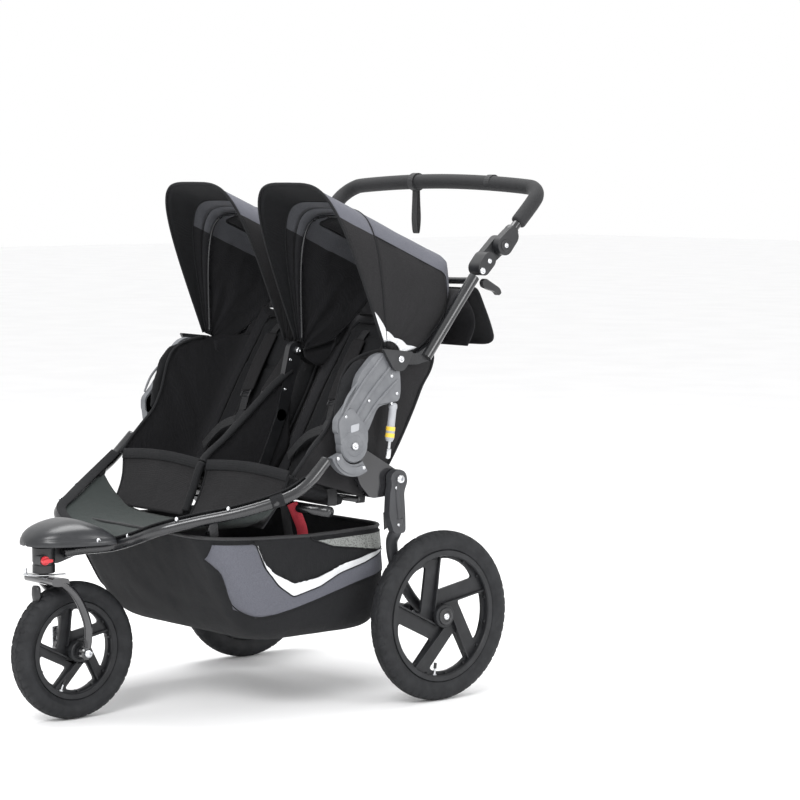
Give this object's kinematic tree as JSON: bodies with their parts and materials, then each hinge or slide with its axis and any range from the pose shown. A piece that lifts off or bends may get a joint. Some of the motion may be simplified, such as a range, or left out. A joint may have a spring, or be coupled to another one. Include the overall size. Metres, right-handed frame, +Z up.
{
  "type": "double jogging stroller",
  "caption": "Side-by-side double jogging stroller with three air-tyre wheels, a swivelling front fork, reclining seats, folding canopies and a folding tube frame.",
  "frame": {"origin": "middle of the object's box, on the ground under the three wheels", "axes": "+Z up, -Y the front of the stroller, +X its left-hand side"},
  "size_m": [0.788, 1.2634, 1.2014],
  "materials": {
    "tire_rubber": "matt moulded rubber",
    "wheel_plastic": "satin moulded nylon",
    "black_plastic": "fine-grained moulded plastic",
    "grey_plastic": "fine-grained moulded plastic",
    "gloss_black": "gloss powder coat",
    "frame_black": "satin powder coat",
    "cast_grey": "satin cast alloy",
    "bright_steel": "bright",
    "foam": "soft foam",
    "black_fabric": "plain woven polyester",
    "grey_fabric": "plain woven polyester",
    "reflective_fabric": "silver reflective cloth",
    "mesh_fabric": "open knitted mesh",
    "webbing": "ribbed polyester webbing",
    "red_plastic": "gloss moulded plastic"
  },
  "bodies": {
    "chassis": {"head_housing": "black_plastic", "nose_cover": "black_plastic", "side_tube_left": "frame_black", "side_tube_right": "frame_black", "front_cross_tube": "frame_black", "seat_cross_tube": "frame_black", "hinge_bracket_left": "grey_plastic", "hinge_bracket_right": "grey_plastic", "side_plate_left": "grey_plastic", "side_plate_right": "grey_plastic", "center_post": "black_plastic", "seat_base_left": "black_fabric", "seat_base_right": "black_fabric", "footwell": "grey_fabric", "side_bolster_left": "black_fabric", "side_bolster_right": "black_fabric", "basket": "black_fabric"},
    "lock_knob": {"swivel_lock_knob": "red_plastic"},
    "front_fork": {"fork": "gloss_black", "front_axle": "bright_steel"},
    "front_wheel": {"front_tire": "tire_rubber", "front_rim": "wheel_plastic"},
    "quick_lever": {"front_release_lever": "bright_steel"},
    "upper_frame": {"upper_tube_left": "frame_black", "upper_tube_right": "frame_black", "lower_knuckle_left": "black_plastic", "lower_knuckle_right": "black_plastic", "back_crossbar": "frame_black", "canopy_rear_left": "grey_fabric", "canopy_rear_right": "grey_fabric", "rear_pocket": "black_fabric"},
    "canopy_bows": {"canopy_bow_left": "frame_black", "canopy_bow_right": "frame_black"},
    "canopy_left": {"canopy_front_left": "black_fabric"},
    "canopy_right": {"canopy_front_right": "black_fabric"},
    "handlebar": {"handlebar_tube": "frame_black", "handlebar_grip": "foam", "wrist_strap": "webbing", "handle_knuckle_left": "black_plastic", "handle_knuckle_right": "black_plastic"},
    "lever_left": {"release_lever_left": "black_plastic"},
    "lever_right": {"release_lever_right": "black_plastic"},
    "seat_carrier": {"seat_hinge_bar": "frame_black"},
    "seat_left": {"seat_back_left": "black_fabric"},
    "seat_right": {"seat_back_right": "black_fabric"},
    "rocker": {"suspension_link_left": "gloss_black", "suspension_link_right": "gloss_black"},
    "rear_legs": {"rear_leg_left": "cast_grey", "rear_leg_right": "cast_grey", "rear_axle": "bright_steel"},
    "wheel_left": {"rear_tire_left": "tire_rubber", "rear_rim_left": "wheel_plastic"},
    "wheel_right": {"rear_tire_right": "tire_rubber", "rear_rim_right": "wheel_plastic"},
    "brake": {"brake_pedal": "black_plastic"},
    "shock_bodies": {"shock_body_left": "cast_grey", "shock_body_right": "cast_grey"},
    "shock_rods": {"shock_rod_left": "bright_steel", "shock_rod_right": "bright_steel"}
  },
  "joints": [
    {"name": "swivel_lock_turn", "type": "hinge", "parent": "chassis", "child": "lock_knob", "pos_m": [0.033, -0.5667, 0.363], "axis": [1, 0, 0], "range_deg": [0, 90]},
    {"name": "fork_swivel", "type": "hinge", "parent": "chassis", "child": "front_fork", "pos_m": [0, -0.5517, 0.33], "axis": [0, 0, 1], "continuous": true},
    {"name": "front_wheel_spin", "type": "hinge", "parent": "front_fork", "child": "front_wheel", "pos_m": [0, -0.4787, 0.153], "axis": [1, 0, 0], "continuous": true},
    {"name": "quick_lever_swing", "type": "hinge", "parent": "front_fork", "child": "quick_lever", "pos_m": [-0.069, -0.4787, 0.153], "axis": [0, -1, 0], "range_deg": [0, 120]},
    {"name": "frame_fold", "type": "hinge", "parent": "chassis", "child": "upper_frame", "pos_m": [0, 0.1453, 0.789], "axis": [1, 0, 0], "range_deg": [0, 140], "deforming": ["canopy_rear_left", "canopy_rear_right"]},
    {"name": "canopy_gather", "type": "hinge", "parent": "upper_frame", "child": "canopy_bows", "pos_m": [0, 0.1453, 0.789], "axis": [1, 0, 0], "range_deg": [-61, 0]},
    {"name": "canopy_left_turn", "type": "hinge", "parent": "canopy_bows", "child": "canopy_left", "pos_m": [0, 0.1453, 0.789], "axis": [1, 0, 0], "range_deg": [-40, 6]},
    {"name": "canopy_right_turn", "type": "hinge", "parent": "canopy_bows", "child": "canopy_right", "pos_m": [0, 0.1453, 0.789], "axis": [1, 0, 0], "range_deg": [-40, 6]},
    {"name": "handlebar_tilt", "type": "hinge", "parent": "upper_frame", "child": "handlebar", "pos_m": [0, 0.4713, 1.036], "axis": [1, 0, 0], "range_deg": [-111, 16]},
    {"name": "release_lever_left_squeeze", "type": "hinge", "parent": "upper_frame", "child": "lever_left", "pos_m": [0.365, 0.4083, 0.952], "axis": [1, 0, 0], "range_deg": [0, 12], "stiffness_Nm_per_rad": 0.5, "springref_deg": -5.73},
    {"name": "release_lever_right_squeeze", "type": "hinge", "parent": "upper_frame", "child": "lever_right", "pos_m": [-0.365, 0.4083, 0.952], "axis": [1, 0, 0], "range_deg": [0, 12], "stiffness_Nm_per_rad": 0.5, "springref_deg": -5.73},
    {"name": "seat_fold", "type": "hinge", "parent": "chassis", "child": "seat_carrier", "pos_m": [0, 0.0823, 0.472], "axis": [1, 0, 0], "range_deg": [0, 81], "deforming": ["seat_back_left", "seat_back_right"]},
    {"name": "seat_left_recline", "type": "hinge", "parent": "seat_carrier", "child": "seat_left", "pos_m": [0, 0.0823, 0.472], "axis": [1, 0, 0], "range_deg": [-28, 0], "deforming": ["rear_pocket"]},
    {"name": "seat_right_recline", "type": "hinge", "parent": "seat_carrier", "child": "seat_right", "pos_m": [0, 0.0823, 0.472], "axis": [1, 0, 0], "range_deg": [-28, 0]},
    {"name": "suspension", "type": "hinge", "parent": "chassis", "child": "rocker", "pos_m": [0, 0.0183, 0.602], "axis": [1, 0, 0], "range_deg": [0, 8], "stiffness_Nm_per_rad": 300, "springref_deg": -6.88},
    {"name": "rear_leg_fold", "type": "hinge", "parent": "rocker", "child": "rear_legs", "pos_m": [0, 0.1483, 0.519], "axis": [1, 0, 0], "range_deg": [-65, 0], "deforming": ["basket"]},
    {"name": "rear_wheel_left_spin", "type": "hinge", "parent": "rear_legs", "child": "wheel_left", "pos_m": [0.365, 0.2783, 0.195], "axis": [1, 0, 0], "continuous": true},
    {"name": "rear_wheel_right_spin", "type": "hinge", "parent": "rear_legs", "child": "wheel_right", "pos_m": [-0.365, 0.2783, 0.195], "axis": [1, 0, 0], "continuous": true},
    {"name": "brake_pedal_press", "type": "hinge", "parent": "rear_legs", "child": "brake", "pos_m": [0, 0.2783, 0.195], "axis": [1, 0, 0], "range_deg": [-20, 0]},
    {"name": "shock_swing", "type": "hinge", "parent": "chassis", "child": "shock_bodies", "pos_m": [0, 0.1363, 0.679], "axis": [1, 0, 0], "range_deg": [0, 2]},
    {"name": "shock_stroke", "type": "slide", "parent": "shock_bodies", "child": "shock_rods", "axis": [0, 0.1402, 0.9901], "range_m": [0, 0.015]}
  ],
  "couplings": [
    {"joint": "canopy_gather", "follows": "frame_fold", "ratio": -0.42857},
    {"joint": "seat_fold", "follows": "frame_fold", "ratio": 0.57143},
    {"joint": "shock_swing", "follows": "suspension", "ratio": 0.2137},
    {"joint": "shock_stroke", "follows": "suspension", "m_per_rad": 0.1053}
  ]
}
